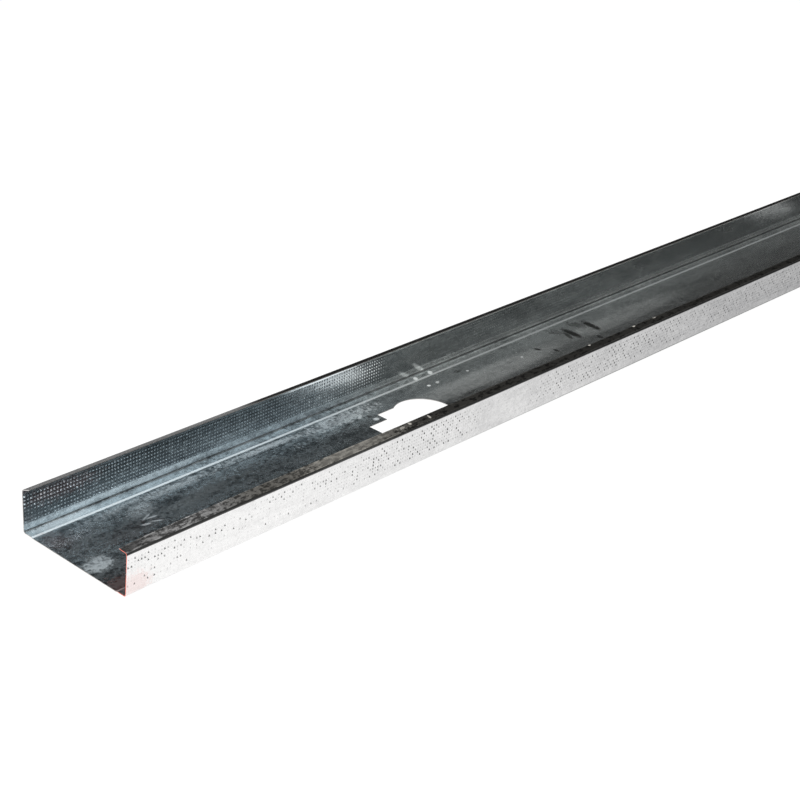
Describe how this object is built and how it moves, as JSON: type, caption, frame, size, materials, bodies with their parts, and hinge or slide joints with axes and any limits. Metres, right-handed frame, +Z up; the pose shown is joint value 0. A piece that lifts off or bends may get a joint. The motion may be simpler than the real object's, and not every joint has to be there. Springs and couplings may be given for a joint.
{
  "type": "drywall metal stud",
  "caption": "Roll-formed galvanised C-section wall stud with a creased web, stepped service holes, flared knurled flanges and small stiffening lips.",
  "frame": {"origin": "centre of the bounding box's bottom face: middle of the length and of the width, on the floor under the web", "axes": "+X along the stud, away from the end that its service holes step down towards, +Y across the web, +Z up along the flanges"},
  "size_m": [2.4384, 0.0936, 0.0313],
  "materials": {
    "galvanised_sheet": "dull galvanised coating, cloudy, with rolling streaks along the length"
  },
  "bodies": {
    "root": {"stud": "galvanised_sheet"}
  },
  "joints": []
}
